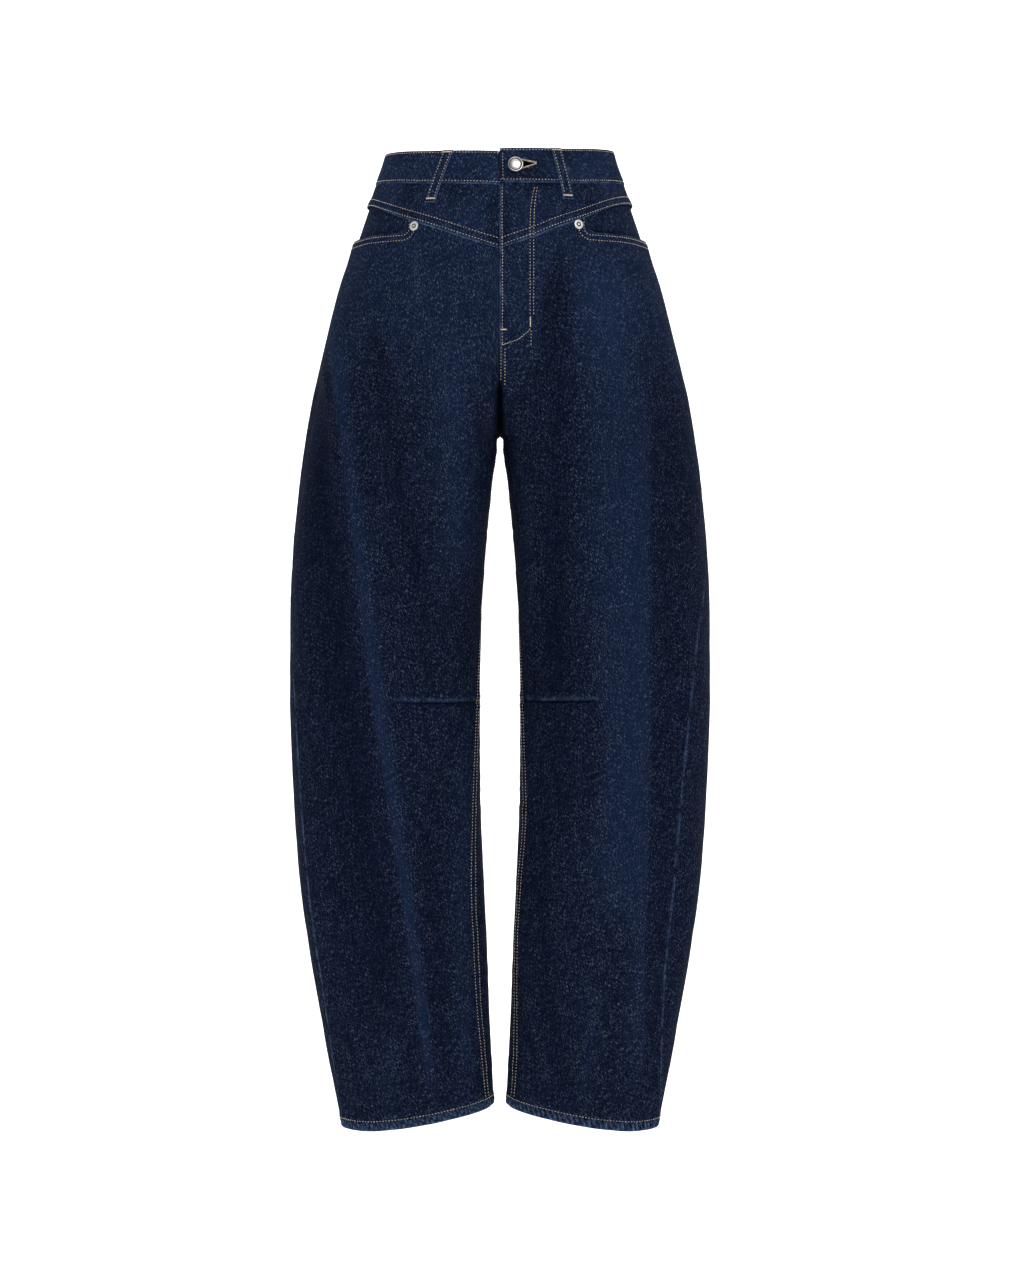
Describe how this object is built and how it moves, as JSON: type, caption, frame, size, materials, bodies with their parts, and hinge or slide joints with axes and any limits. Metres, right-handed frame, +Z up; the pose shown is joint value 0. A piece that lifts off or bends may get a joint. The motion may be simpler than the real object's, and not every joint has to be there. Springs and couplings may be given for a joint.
{
  "type": "barrel leg trousers",
  "caption": "High-waisted denim trousers with bowed barrel legs, a pointed front yoke, curved pocket mouths and open waist and hems, standing hollow as worn.",
  "frame": {"origin": "centre of the waist opening, level with the waistband's top edge at the front", "axes": "+Z up through the waist opening, +X to the wearer's left, -Y out of the front"},
  "size_m": [0.4441, 0.2484, 1.0391],
  "materials": {
    "denim": "dark indigo right-hand twill with tan stitching",
    "metal": "polished nickel with darker hollows"
  },
  "bodies": {
    "root": {"waistband": "denim", "front_yoke_right": "denim", "front_yoke_left": "denim", "back_yoke_right": "denim", "back_yoke_left": "denim", "pocket_facing_right": "denim", "pocket_facing_left": "denim", "front_leg_right": "denim", "front_leg_left": "denim", "back_leg_right": "denim", "back_leg_left": "denim", "back_pocket_right": "denim", "back_pocket_left": "denim", "belt_loop_front_right": "denim", "belt_loop_front_left": "denim", "belt_loop_back_right": "denim", "belt_loop_back_centre": "denim", "belt_loop_back_left": "denim", "waist_button": "metal", "rivet_right": "metal", "rivet_left": "metal"}
  },
  "joints": []
}
